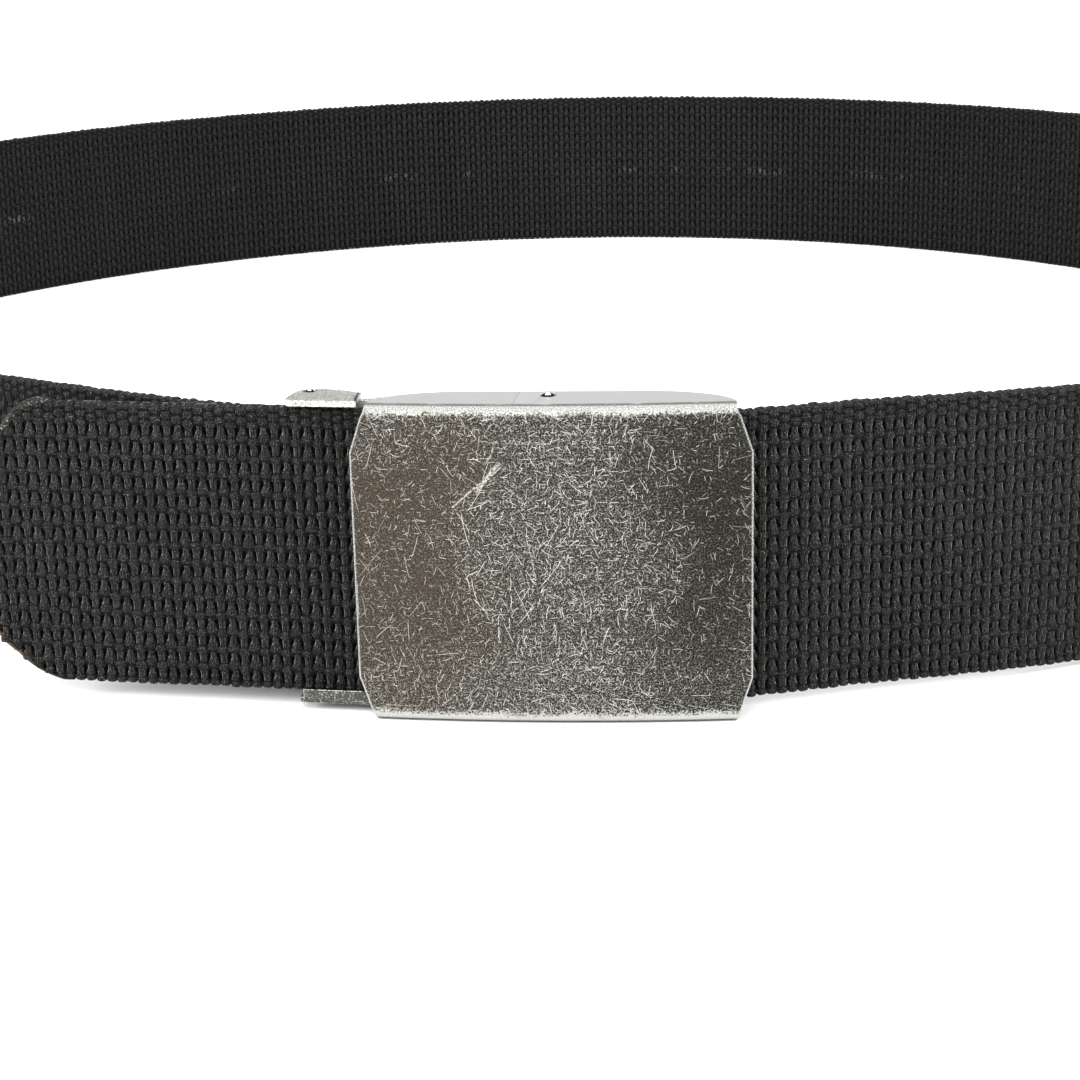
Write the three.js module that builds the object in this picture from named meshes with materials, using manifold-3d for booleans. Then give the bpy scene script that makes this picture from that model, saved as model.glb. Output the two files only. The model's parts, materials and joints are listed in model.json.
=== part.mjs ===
// Webbing belt with a cover-plate buckle, fastened, standing on its lower edge as a closed loop.
// Millimetres, +Z up. The buckle's face looks along -Y. Places are worked out from the middle of
// the cover plate's outer edges, and the whole belt is centred on its own box at the end.

import * as THREE from 'three';
import { mergeVertices } from 'three/addons/utils/BufferGeometryUtils.js';
import Module from 'manifold-3d';

const wasm = await Module();
wasm.setup();

const degree = Math.PI / 180;
const gap = 0.35;
const pastFace = 1;
const holeSides = 24;
const pinSides = 20;

// Webbing
const strapWidth = 38;
const strapThickness = 2.3;
const strapEdgeRound = 0.5;
const strapLiftAtTip = 2.25;
const strapLiftAtExit = 1.75;
const strapLiftInClamp = 0.4;
const liftRunFromBuckle = 80;
const liftRunFromClamp = 60;
const fineReach = 30;
const fineStep = 4;
const coarseStep = 13;

// Cover plate
const coverWidth = 50;
const coverHeight = 41.4;
const coverWall = 0.8;
const coverBulge = 1.3;
const coverBend = 1.5;
const coverDepth = 7.5;
const cornerCutAcross = 2;
const cornerCutUp = 6;
const flangeFlatHalf = 12;
const coverColumns = 12;
const bendSteps = 4;
const flangeSteps = 6;

// Pins
const coverPin = { x: -0.5, y: 5.4, radius: 0.8, low: 0.2, high: 41.55 };
const earPin = { x: -31.1, y: 8.8, radius: 0.55, low: 1.05, high: 41.4 };

// Base frame: a floor behind the tongue, with an ear bent forward above and below it
const floorFront = 7.95;
const floorWall = 0.9;
const floorRight = 21;
const floorLeft = -29.3;
const floorTabRight = -26;
const floorLow = 1.15;
const floorHigh = 40.2;
const earRight = -24.35;
const earOutline = [
  { x: -33, y: 3.65 }, { x: earRight, y: 2.97 }, { x: earRight, y: 7.6 }, { x: -26.6, y: 9 },
  { x: -29.2, y: 9.9 }, { x: -31.8, y: 9.9 }, { x: -32.8, y: 8.6 }, { x: -33.5, y: 5.4 },
  { x: -33.5, y: 4.1 },
];
const lipOutline = [
  { x: -33, y: 3.65 }, { x: earRight, y: 2.97 }, { x: earRight, y: 3.27 }, { x: -33.2, y: 3.95 },
];
const topEar = { low: 40.5, high: 41.3 };
const bottomEar = { low: 1, high: 1.65 };
const bottomLipHigh = 2.8;
const upstand = { thick: 0.25, front: 3.2, back: 6.4, high: 41.65 };

// Locking bar that presses the tongue against the cover
const bar = { left: -5, right: 4.4, teethFront: 2.6, back: 6.9, cornerCut: 1.5, low: 1.2, high: 40.2 };
const teeth = { count: 4, pitch: 1.9, depth: 0.8, lead: 0.6, tipAt: 0.5, endAt: 0.75 };

// Clamp folded over the strap's fixed end
const clampWall = 0.7;
const clampLeft = -23.75;
const clampRight = -6;
const clampLow = 0.3;
const clampHigh = 39.3;
const clampFront = floorFront + floorWall + gap;
const fixedEndY = clampFront + clampWall + gap + strapThickness / 2;
const clampBack = fixedEndY + strapThickness / 2 + gap + clampWall;

// Where the strap runs in plan, from the tongue's tip through the buckle, round the waist and
// back into the clamp: heading in degrees, and the reach of the curve before and after each place
const strapRoute = [
  { x: -75.5, y: 10.0, heading: -5.5, before: 0, after: 15 },
  { x: -29, y: 5.7, heading: -6, before: 15, after: 6 },
  { x: -6, y: 1.1, heading: 0, before: 8, after: 4 },
  { x: 6, y: 1.1, heading: 0, before: 4, after: 8 },
  { x: 26, y: 5.6, heading: 18, before: 8, after: 7 },
  { x: 46.5, y: 13, heading: 19.2, before: 7, after: 65 },
  { x: 166, y: 175, heading: 90, before: 85, after: 93 },
  { x: -11, y: 365, heading: 180, before: 104, after: 96 },
  { x: -188, y: 191, heading: 270, before: 90, after: 91 },
  { x: -46, y: 16.5, heading: 334.5, before: 65, after: 8 },
  { x: -26, y: fixedEndY, heading: 360, before: 8, after: 5 },
  { x: -9, y: fixedEndY, heading: 360, before: 5, after: 0 },
];
const exitRow = 4;
const clampRow = 10;

// The cut tip of the tongue: its lower and upper edge, at each distance from the end
const tipOutline = [
  { fromEnd: 0, low: 9, high: 28.5 },
  { fromEnd: 0.8, low: 6.6, high: 30 },
  { fromEnd: 2, low: 5, high: 32 },
  { fromEnd: 3.6, low: 3.8, high: 33.9 },
  { fromEnd: 4.8, low: 2.6, high: 35.5 },
  { fromEnd: 6.4, low: 1.5, high: 37 },
  { fromEnd: 8.2, low: 0.7, high: 37.8 },
  { fromEnd: 10.6, low: 0, high: strapWidth },
];

const webbing = new THREE.MeshStandardMaterial({ color: 0x23211f, roughness: 0.85, metalness: 0 });
const plateMetal = new THREE.MeshStandardMaterial({ color: 0x8a867d, roughness: 0.4, metalness: 0.9 });
const frameMetal = new THREE.MeshStandardMaterial({ color: 0x9b9a92, roughness: 0.4, metalness: 0.9 });
const pinMetal = new THREE.MeshStandardMaterial({ color: 0x6a6862, roughness: 0.35, metalness: 0.95 });

function headingVector(degrees) {
  return new THREE.Vector3(Math.cos(degrees * degree), Math.sin(degrees * degree), 0);
}

function smooth(t) {
  const c = THREE.MathUtils.clamp(t, 0, 1);
  return c * c * (3 - 2 * c);
}

// Booleans
function solidOf(geometry) {
  const bare = geometry.clone();
  bare.deleteAttribute('normal');
  bare.deleteAttribute('uv');
  const merged = mergeVertices(bare, 1e-4);
  return new wasm.Manifold(new wasm.Mesh({
    numProp: 3,
    vertProperties: new Float32Array(merged.attributes.position.array),
    triVerts: new Uint32Array(merged.index.array),
  }));
}

function geometryOf(solid) {
  const mesh = solid.getMesh();
  const geometry = new THREE.BufferGeometry();
  geometry.setAttribute('position', new THREE.BufferAttribute(mesh.vertProperties, 3));
  geometry.setIndex(new THREE.BufferAttribute(mesh.triVerts, 1));
  geometry.computeVertexNormals();
  return geometry;
}

function joined(first, ...others) {
  return others.reduce((whole, next) => whole.add(solidOf(next)), solidOf(first));
}

function block(x0, x1, y0, y1, z0, z1) {
  const geometry = new THREE.BoxGeometry(x1 - x0, y1 - y0, z1 - z0);
  return geometry.translate((x0 + x1) / 2, (y0 + y1) / 2, (z0 + z1) / 2);
}

function uprightCylinder(pin, radius, low, high, sides) {
  const geometry = new THREE.CylinderGeometry(radius, radius, high - low, sides);
  return geometry.rotateX(90 * degree).translate(pin.x, pin.y, (low + high) / 2);
}

function extruded(shape, low, high) {
  const options = { depth: high - low, bevelEnabled: false, curveSegments: 8 };
  return new THREE.ExtrudeGeometry(shape, options).translate(0, 0, low);
}

// A closed body from rings of points, with flat ends
function throughRings(rings) {
  const sides = rings[0].length;
  const points = rings.flat();
  const faces = [];
  for (let i = 0; i + 1 < rings.length; i += 1) {
    for (let j = 0; j < sides; j += 1) {
      const a = i * sides + j;
      const b = i * sides + ((j + 1) % sides);
      faces.push(a, b, b + sides, a, b + sides, a + sides);
    }
  }
  const last = (rings.length - 1) * sides;
  for (let j = 1; j + 1 < sides; j += 1) {
    faces.push(0, j + 1, j, last, last + j, last + j + 1);
  }
  const geometry = new THREE.BufferGeometry().setFromPoints(points);
  geometry.setIndex(faces);
  geometry.computeVertexNormals();
  return geometry;
}

// Strap
function routeCurve(rows) {
  const path = new THREE.CurvePath();
  rows.slice(1).forEach((end, i) => {
    const start = rows[i];
    const from = new THREE.Vector3(start.x, start.y, 0);
    const to = new THREE.Vector3(end.x, end.y, 0);
    const leaving = headingVector(start.heading).multiplyScalar(start.after);
    const arriving = headingVector(end.heading).multiplyScalar(end.before);
    const handles = [from.clone().add(leaving), to.clone().sub(arriving)];
    path.add(new THREE.CubicBezierCurve3(from, ...handles, to));
  });
  return path;
}

function edgesAt(s, exit, clamp) {
  const inBuckle = THREE.MathUtils.lerp(strapLiftAtTip, strapLiftAtExit, Math.min(s / exit, 1));
  const fromBuckle = inBuckle * (1 - smooth((s - exit) / liftRunFromBuckle));
  const fromClamp = strapLiftInClamp * smooth((s - clamp + liftRunFromClamp) / liftRunFromClamp);
  const lift = Math.max(fromBuckle, fromClamp);
  const next = tipOutline.findIndex((row) => row.fromEnd >= s);
  if (next < 0) return { low: lift, high: lift + strapWidth };
  const after = tipOutline[next];
  const before = tipOutline[Math.max(next - 1, 0)];
  const span = after.fromEnd - before.fromEnd || 1;
  const t = (s - before.fromEnd) / span;
  return {
    low: lift + THREE.MathUtils.lerp(before.low, after.low, t),
    high: lift + THREE.MathUtils.lerp(before.high, after.high, t),
  };
}

function strapGeometry() {
  const path = routeCurve(strapRoute);
  const lengths = path.getCurveLengths();
  const total = lengths[lengths.length - 1];
  const exit = lengths[exitRow - 1];
  const clamp = lengths[clampRow - 1];
  const stations = tipOutline.map((row) => row.fromEnd);
  const bends = [
    { until: exit + fineReach, step: fineStep },
    { until: clamp - fineReach, step: coarseStep },
    { until: total, step: fineStep },
  ];
  bends.forEach(({ until, step }) => {
    const from = stations[stations.length - 1];
    const count = Math.ceil((until - from) / step);
    for (let i = 1; i <= count; i += 1) stations.push(from + ((until - from) * i) / count);
  });
  const half = strapThickness / 2;
  const flat = half - strapEdgeRound;
  const rings = stations.map((s) => {
    const place = path.getPoint(s / total);
    const along = path.getTangent(s / total);
    const across = new THREE.Vector3(-along.y, along.x, 0);
    const { low, high } = edgesAt(s, exit, clamp);
    const section = [
      [half, low + strapEdgeRound], [half, high - strapEdgeRound], [flat, high], [-flat, high],
      [-half, high - strapEdgeRound], [-half, low + strapEdgeRound], [-flat, low], [flat, low],
    ];
    return section.map(([side, z]) => place.clone().addScaledVector(across, side).setZ(z));
  });
  return throughRings(rings);
}

// Cover plate: one bent sheet, followed from the back edge of its lower flange, up its face,
// to the back edge of its upper flange. Each row gives a place on the outside, the way in
// through the sheet, the half width there, and how far the row follows the bulge of the face.
function coverRows() {
  const cornerHalf = coverWidth / 2 - cornerCutAcross;
  const halfAtHeight = (z) => {
    const fromCorner = Math.min(z, coverHeight - z);
    return coverWidth / 2 - cornerCutAcross * Math.max(0, 1 - fromCorner / cornerCutUp);
  };
  const flange = (t) => ({
    y: THREE.MathUtils.lerp(coverBend, coverDepth, t),
    z: 0,
    in: [0, 1],
    half: flangeFlatHalf + (cornerHalf - flangeFlatHalf) * Math.sqrt(1 - t * t),
    follow: 1 - t,
  });
  const bend = (angle) => {
    const z = coverBend * (1 - Math.sin(angle));
    const half = THREE.MathUtils.lerp(halfAtHeight(z), cornerHalf, Math.sin(angle));
    const inward = [Math.cos(angle), Math.sin(angle)];
    return { y: coverBend * (1 - Math.cos(angle)), z, in: inward, half, follow: 1 };
  };
  const face = (z) => ({ y: 0, z, in: [1, 0], half: halfAtHeight(z), follow: 1 });
  const lower = [];
  for (let i = flangeSteps; i > 0; i -= 1) lower.push(flange(i / flangeSteps));
  for (let i = bendSteps; i > 0; i -= 1) lower.push(bend((90 * degree * i) / bendSteps));
  lower.push(face(coverBend), face(cornerCutUp), face((cornerCutUp + coverHeight / 2) / 2));
  const upper = lower.map((row) => ({ ...row, z: coverHeight - row.z, in: [row.in[0], -row.in[1]] }));
  return [...lower, face(coverHeight / 2), ...upper.reverse()];
}

function coverGeometry() {
  const rings = coverRows().map((row) => {
    const outside = [];
    const inside = [];
    for (let i = 0; i <= coverColumns; i += 1) {
      const x = row.half * ((2 * i) / coverColumns - 1);
      const bulge = coverBulge * (1 - (x / (coverWidth / 2)) ** 2) * row.follow;
      const y = row.y - bulge;
      outside.push(new THREE.Vector3(x, y, row.z));
      inside.push(new THREE.Vector3(x, y + row.in[0] * coverWall, row.z + row.in[1] * coverWall));
    }
    return [...outside, ...inside.reverse()];
  });
  const sheet = stripEnds(throughRings(rings), rings);
  const high = coverHeight + pastFace;
  const hole = uprightCylinder(coverPin, coverPin.radius + gap, -pastFace, high, holeSides);
  return geometryOf(solidOf(sheet).subtract(solidOf(hole)));
}

// The sheet's two back edges are bands of quads, not a fan from one corner
function stripEnds(geometry, rings) {
  const sides = rings[0].length;
  const bandFaces = (rings.length - 1) * sides * 6;
  const faces = [...geometry.index.array.slice(0, bandFaces)];
  const last = (rings.length - 1) * sides;
  for (let i = 0; i < coverColumns; i += 1) {
    const far = sides - 1 - i;
    faces.push(i, far, far - 1, i, far - 1, i + 1);
    faces.push(last + i, last + far - 1, last + far, last + i, last + i + 1, last + far - 1);
  }
  geometry.setIndex(faces);
  return geometry;
}

// Base frame
function shapeOf(outline) {
  return new THREE.Shape(outline.map((corner) => new THREE.Vector2(corner.x, corner.y)));
}

function baseFrameGeometry() {
  const floorBack = floorFront + floorWall;
  const frame = joined(
    block(floorLeft, floorRight, floorFront, floorBack, floorLow, floorHigh),
    block(floorLeft, floorTabRight, floorFront, floorBack, bottomEar.low, topEar.high),
    extruded(shapeOf(earOutline), bottomEar.low, bottomEar.high),
    extruded(shapeOf(lipOutline), bottomEar.low, bottomLipHigh),
    extruded(shapeOf(earOutline), topEar.low, topEar.high),
    block(earRight - upstand.thick, earRight, upstand.front, upstand.back, topEar.low, upstand.high),
  );
  const low = bottomEar.low - pastFace;
  const high = topEar.high + pastFace;
  const hole = uprightCylinder(earPin, earPin.radius + gap, low, high, holeSides);
  return geometryOf(frame.subtract(solidOf(hole)));
}

// Locking bar
function lockingBarGeometry() {
  const shape = new THREE.Shape();
  const root = bar.teethFront + teeth.depth;
  shape.moveTo(bar.left, root);
  for (let i = 0; i < teeth.count; i += 1) {
    const start = bar.left + teeth.lead + i * teeth.pitch;
    shape.lineTo(start, root);
    shape.lineTo(start + teeth.pitch * teeth.tipAt, bar.teethFront);
    shape.lineTo(start + teeth.pitch * teeth.endAt, root);
  }
  shape.lineTo(bar.right, root);
  shape.lineTo(bar.right, bar.back - bar.cornerCut);
  shape.lineTo(bar.right - bar.cornerCut, bar.back);
  shape.lineTo(bar.left + bar.cornerCut, bar.back);
  shape.lineTo(bar.left, bar.back - bar.cornerCut);
  const hole = new THREE.Path();
  hole.absarc(coverPin.x, coverPin.y, coverPin.radius + gap, 0, 360 * degree, true);
  shape.holes.push(hole);
  return extruded(shape, bar.low, bar.high);
}

// End clamp: a strip folded once, open to the left
function endClampGeometry() {
  const outer = (clampBack - clampFront) / 2;
  const inner = outer - clampWall;
  const middle = (clampBack + clampFront) / 2;
  const shape = new THREE.Shape();
  shape.moveTo(clampLeft, clampFront);
  shape.absarc(clampRight - outer, middle, outer, -90 * degree, 90 * degree);
  shape.lineTo(clampLeft, clampBack);
  shape.lineTo(clampLeft, clampBack - clampWall);
  shape.absarc(clampRight - outer, middle, inner, 90 * degree, -90 * degree, true);
  shape.lineTo(clampLeft, clampFront + clampWall);
  return extruded(shape, clampLow, clampHigh);
}

function pinGeometry(pin) {
  return uprightCylinder(pin, pin.radius, pin.low, pin.high, pinSides);
}

const belt = new THREE.Group();

function addPiece(name, geometry, material) {
  const piece = new THREE.Mesh(geometry, material);
  piece.name = name;
  belt.add(piece);
}

addPiece('strap', strapGeometry(), webbing);
addPiece('cover_plate', coverGeometry(), plateMetal);
addPiece('base_frame', baseFrameGeometry(), frameMetal);
addPiece('locking_bar', lockingBarGeometry(), frameMetal);
addPiece('end_clamp', endClampGeometry(), frameMetal);
addPiece('cover_pin', pinGeometry(coverPin), pinMetal);
addPiece('ear_pin', pinGeometry(earPin), pinMetal);

const middle = new THREE.Box3().setFromObject(belt).getCenter(new THREE.Vector3());
belt.position.set(-middle.x, -middle.y, 0);
belt.updateMatrixWorld(true);

export default belt;
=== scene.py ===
import bisect
import json
import math
import random

import bmesh
import bpy
from mathutils import Matrix, Vector

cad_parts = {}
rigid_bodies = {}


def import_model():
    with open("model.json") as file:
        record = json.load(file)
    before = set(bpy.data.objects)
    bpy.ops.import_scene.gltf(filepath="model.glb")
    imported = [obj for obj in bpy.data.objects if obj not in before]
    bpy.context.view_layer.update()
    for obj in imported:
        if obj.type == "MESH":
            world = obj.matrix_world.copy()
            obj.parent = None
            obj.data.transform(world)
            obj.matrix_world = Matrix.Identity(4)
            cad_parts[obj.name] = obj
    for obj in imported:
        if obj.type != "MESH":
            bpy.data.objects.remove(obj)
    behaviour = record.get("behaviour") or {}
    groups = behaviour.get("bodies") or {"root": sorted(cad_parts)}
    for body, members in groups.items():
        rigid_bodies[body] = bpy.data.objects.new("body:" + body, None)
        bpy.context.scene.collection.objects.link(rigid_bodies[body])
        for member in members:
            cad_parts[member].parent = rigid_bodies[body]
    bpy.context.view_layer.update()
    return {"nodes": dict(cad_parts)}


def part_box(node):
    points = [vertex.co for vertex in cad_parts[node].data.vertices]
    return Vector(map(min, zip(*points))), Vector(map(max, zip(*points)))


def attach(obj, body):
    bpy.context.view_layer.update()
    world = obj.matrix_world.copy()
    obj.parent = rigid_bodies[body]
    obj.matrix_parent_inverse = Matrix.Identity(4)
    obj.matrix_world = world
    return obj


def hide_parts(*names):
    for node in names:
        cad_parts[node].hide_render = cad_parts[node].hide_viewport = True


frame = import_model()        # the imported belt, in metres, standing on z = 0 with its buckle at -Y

mm = 0.001
scene = bpy.context.scene

plateLow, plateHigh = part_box("cover_plate")
coverBulge = 1.3
# the middle of the plate's outer edges: every place on the buckle is worked out from here
buckleX = (plateLow[0] + plateHigh[0]) / 2
buckleY = plateLow[1] + coverBulge * mm


def fromBuckle(x, y, z=0.0):
    return Vector((buckleX + x * mm, buckleY + y * mm, z * mm))


def smooth(t):
    c = min(max(t, 0.0), 1.0)
    return c * c * (3 - 2 * c)


def lerp(a, b, t):
    return a + (b - a) * t


# node trees: one method adds any node, and maths on its output reads as plain expressions
class Wire:
    def __init__(self, tree, socket):
        self.tree, self.socket = tree, socket

    def maths(self, operation, *values):
        sockets = dict(enumerate(values))
        return self.tree.add("ShaderNodeMath", {"operation": operation}, sockets)

    def __add__(self, other):
        return self.maths("ADD", self, other)

    def __sub__(self, other):
        return self.maths("SUBTRACT", self, other)

    def __rsub__(self, other):
        return self.maths("SUBTRACT", other, self)

    def __mul__(self, other):
        return self.maths("MULTIPLY", self, other)

    def __truediv__(self, other):
        return self.maths("DIVIDE", self, other)

    def __rtruediv__(self, other):
        return self.maths("DIVIDE", other, self)

    def __gt__(self, other):
        return self.maths("GREATER_THAN", self, other)

    __radd__ = __add__
    __rmul__ = __mul__

    def size(self):
        return self.maths("ABSOLUTE", self)

    def clamped(self):
        return self.tree.add("ShaderNodeClamp", {}, {"Value": self})

    def atLeast(self, other):
        return self.maths("MAXIMUM", self, other)

    def rise(self, start, end):
        ends = {"Value": self, "From Min": start, "From Max": end}
        return self.tree.add("ShaderNodeMapRange", {"interpolation_type": "SMOOTHSTEP"}, ends)


class Tree:
    def __init__(self, nodeTree):
        self.nodeTree = nodeTree

    def add(self, kind, settings=None, sockets=None, out=0):
        node = self.nodeTree.nodes.new(kind)
        for name, value in (settings or {}).items():
            setattr(node, name, value)
        for name, value in (sockets or {}).items():
            if isinstance(value, Wire):
                self.nodeTree.links.new(value.socket, node.inputs[name])
            else:
                node.inputs[name].default_value = value
        return Wire(self, node.outputs[out]) if node.outputs else node

    def other(self, wire, name):
        return Wire(self, wire.socket.node.outputs[name])

    def mixed(self, factor, a, b):
        a = a if isinstance(a, Wire) else (*a, 1)
        b = b if isinstance(b, Wire) else (*b, 1)
        settings = {"data_type": "RGBA", "clamp_factor": True}
        return self.add("ShaderNodeMix", settings, {0: factor, 6: a, 7: b}, 2)

    def noise(self, place, grain, detail=2.0, roughness=0.5):
        sockets = {"Vector": place, "Scale": 1 / (grain * mm), "Detail": detail,
                   "Roughness": roughness}
        return self.add("ShaderNodeTexNoise", {}, sockets)

    def stretched(self, place, x, y, z):
        return self.add("ShaderNodeMapping", {}, {"Vector": place, "Scale": (x, y, z)})

    def attribute(self, name):
        return self.add("ShaderNodeAttribute", {"attribute_name": name}, {}, "Fac")

    def place(self):
        return self.add("ShaderNodeTexCoord", {}, {}, "Object")

    def parts(self, place):
        x = self.add("ShaderNodeSeparateXYZ", {}, {0: place})
        return x, self.other(x, "Y"), self.other(x, "Z")

    def joined(self, x, y, z):
        return self.add("ShaderNodeCombineXYZ", {}, {0: x, 1: y, 2: z})


def newFinish(name):
    material = bpy.data.materials.new(name)
    material.use_nodes = True
    material.node_tree.nodes.clear()
    return material, Tree(material.node_tree)


def finishWith(tree, sockets, height=None, depth=0.0, strength=1.0):
    # the surface shader, with its bump, wired to the output
    if height is not None:
        bump = {"Height": height, "Distance": depth * mm, "Strength": strength}
        sockets["Normal"] = tree.add("ShaderNodeBump", {}, bump)
    sockets = {name: (*value, 1) if isinstance(value, tuple) else value
               for name, value in sockets.items()}
    shader = tree.add("ShaderNodeBsdfPrincipled", {}, sockets)
    tree.add("ShaderNodeOutputMaterial", {}, {"Surface": shader})


# camera: for a chosen lens, its height, pitch and roll were fitted to the belt's edges in the
# photograph
camera = {
    "place": (21.515, -285.405, 110.54),   # millimetres from the middle of the plate's edges
    "turn": 4.61, "pitch": 16.79, "roll": -1.348,
    "lens": 80, "sensor": 36,
}


def makeCamera():
    turn, pitch, roll = (math.radians(camera[k]) for k in ("turn", "pitch", "roll"))
    level = math.cos(pitch)
    forward = Vector((-math.sin(turn) * level, math.cos(turn) * level, -math.sin(pitch)))
    side = Vector((math.cos(turn), math.sin(turn), 0))
    up = side.cross(forward)
    right = side * math.cos(roll) + up * math.sin(roll)
    top = up * math.cos(roll) - side * math.sin(roll)
    data = bpy.data.cameras.new("camera")
    data.lens, data.sensor_width = camera["lens"], camera["sensor"]
    data.clip_start, data.clip_end = 0.01, 50
    made = bpy.data.objects.new("camera", data)
    turned = Matrix((right, top, -forward)).transposed().to_4x4()
    made.matrix_world = Matrix.Translation(fromBuckle(*camera["place"])) @ turned
    scene.collection.objects.link(made)
    scene.camera = made


makeCamera()
print("camera made")


# floor and light
studio = {
    "floorSize": 16.0, "floorColour": (0.93, 0.93, 0.93),
    "skyStrength": 0.45, "skyColour": (1.0, 1.0, 1.0),
    # name, place, aim, size, watts
    "lights": [
        ("overhead", (0.0, -0.15, 1.35), (0.0, -0.1, 0.0), 2.4, 30),
        ("front", (-0.2, -1.7, 1.0), (0.0, -0.15, 0.02), 1.6, 24),
        ("leftSide", (-1.2, -0.5, 0.5), (0.0, -0.15, 0.02), 0.6, 19),
        ("rightSide", (1.2, -0.5, 0.5), (0.0, -0.15, 0.02), 0.6, 19),
    ],
}


def makeStudio():
    half = studio["floorSize"] / 2
    mesh = bpy.data.meshes.new("floor")
    corners = [(-half, -half, 0), (half, -half, 0), (half, half, 0), (-half, half, 0)]
    mesh.from_pydata(corners, [], [(0, 1, 2, 3)])
    floor = bpy.data.objects.new("floor", mesh)
    scene.collection.objects.link(floor)
    material, tree = newFinish("studioWhite")
    finishWith(tree, {"Base Color": studio["floorColour"], "Roughness": 0.9,
                      "Specular IOR Level": 0.1})
    mesh.materials.append(material)
    for name, place, aim, size, watts in studio["lights"]:
        data = bpy.data.lights.new(name, "AREA")
        data.shape, data.size, data.energy = "DISK", size, watts
        light = bpy.data.objects.new(name, data)
        light.location = place
        light.rotation_euler = (Vector(aim) - Vector(place)).to_track_quat("-Z", "Y").to_euler()
        scene.collection.objects.link(light)
    world = bpy.data.worlds.new("studio")
    world.use_nodes = True
    sky = world.node_tree.nodes["Background"]
    sky.inputs["Color"].default_value = (*studio["skyColour"], 1)
    sky.inputs["Strength"].default_value = studio["skyStrength"]
    scene.world = world
    scene.view_settings.view_transform = "Standard"


makeStudio()
print("floor and lights made")


# where the strap runs, as in the CAD: x, y, heading, reach before, reach after
strap = {
    "width": 38.0,
    "liftAtTip": 2.25, "liftAtExit": 1.75, "liftInClamp": 0.4,
    "runFromBuckle": 80.0, "runFromClamp": 60.0,
    "exitRow": 4, "clampRow": 10,
    "fixedEnd": 11.4,
    # distance from the end, lower edge, upper edge
    "tip": [(0, 9, 28.5), (0.8, 6.6, 30), (2, 5, 32), (3.6, 3.8, 33.9), (4.8, 2.6, 35.5),
            (6.4, 1.5, 37), (8.2, 0.7, 37.8), (10.6, 0, 38)],
}
route = [
    (-75.5, 10.0, -5.5, 0, 15), (-29, 5.7, -6, 15, 6), (-6, 1.1, 0, 8, 4), (6, 1.1, 0, 4, 8),
    (26, 5.6, 18, 8, 7), (46.5, 13, 19.2, 7, 65), (166, 175, 90, 85, 93), (-11, 365, 180, 104, 96),
    (-188, 191, 270, 90, 91), (-46, 16.5, 334.5, 65, 8), (-26, strap["fixedEnd"], 360, 8, 5),
    (-9, strap["fixedEnd"], 360, 5, 0),
]


def alongRoute(rows, steps=400):
    # distance along, place and heading at closely spaced points, and the distance at each row
    table, atRows, total, last = [], [0.0], 0.0, None
    for start, end in zip(rows, rows[1:]):
        before, after = (Vector((math.cos(a), math.sin(a))) for a in
                         (math.radians(start[2]), math.radians(end[2])))
        p0, p3 = Vector(start[:2]), Vector(end[:2])
        p1, p2 = p0 + before * start[4], p3 - after * end[3]
        for i in range(steps + 1):
            t = i / steps
            u = 1 - t
            place = p0 * u ** 3 + p1 * (3 * u * u * t) + p2 * (3 * u * t * t) + p3 * t ** 3
            slope = (p1 - p0) * (u * u) + (p2 - p1) * (2 * u * t) + (p3 - p2) * (t * t)
            if last is not None:
                total += (place - last).length
            last = place
            if i or not table:
                table.append((total, place, math.atan2(slope.y, slope.x)))
        atRows.append(total)
    return table, atRows


routeTable, routeRows = alongRoute(route)
routeAt = [row[0] for row in routeTable]
strapLength = routeAt[-1]


def strapPlace(s):
    i = min(max(bisect.bisect_left(routeAt, s), 1), len(routeTable) - 1)
    s0, p0, a0 = routeTable[i - 1]
    s1, p1, a1 = routeTable[i]
    t = (s - s0) / max(s1 - s0, 1e-9)
    swing = (a1 - a0 + math.pi) % (2 * math.pi) - math.pi
    return p0.lerp(p1, t), a0 + swing * t


def strapLift(s):
    exitAt, clampAt = routeRows[strap["exitRow"]], routeRows[strap["clampRow"]]
    inBuckle = lerp(strap["liftAtTip"], strap["liftAtExit"], min(s / exitAt, 1))
    nearBuckle = inBuckle * (1 - smooth((s - exitAt) / strap["runFromBuckle"]))
    run = strap["runFromClamp"]
    return max(nearBuckle, strap["liftInClamp"] * smooth((s - clampAt + run) / run))


def tipEdges(s):
    rows = strap["tip"]
    for (s0, low0, high0), (s1, low1, high1) in zip(rows, rows[1:]):
        if s <= s1:
            t = max(s - s0, 0) / (s1 - s0)
            return lerp(low0, low1, t), lerp(high0, high1, t)
    return 0.0, strap["width"]


def onStrap(s, across, z):
    # across is measured towards the inside of the waist, and z from the strap's lower edge
    place, heading = strapPlace(s)
    x = place.x - math.sin(heading) * across
    y = place.y + math.cos(heading) * across
    return fromBuckle(x, y, z + strapLift(s))


# meshes
def newObject(name, mesh):
    made = bpy.data.objects.new(name, mesh)
    scene.collection.objects.link(made)
    return made


def throughRings(name, rings, ends=None):
    # a closed mesh from rings of points, with flat ends unless other end faces are given
    sides = len(rings[0])
    faces = [[i * sides + j, i * sides + (j + 1) % sides, (i + 1) * sides + (j + 1) % sides,
              (i + 1) * sides + j] for i in range(len(rings) - 1) for j in range(sides)]
    last = (len(rings) - 1) * sides
    faces += ends or [list(range(sides))[::-1], [last + j for j in range(sides)]]
    mesh = bpy.data.meshes.new(name)
    mesh.from_pydata([p for ring in rings for p in ring], [], faces)
    facingOut(mesh)
    return mesh


def keep(mesh, name, values, domain="POINT"):
    mesh.attributes.new(name, "FLOAT", domain).data.foreach_set("value", values)


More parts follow.
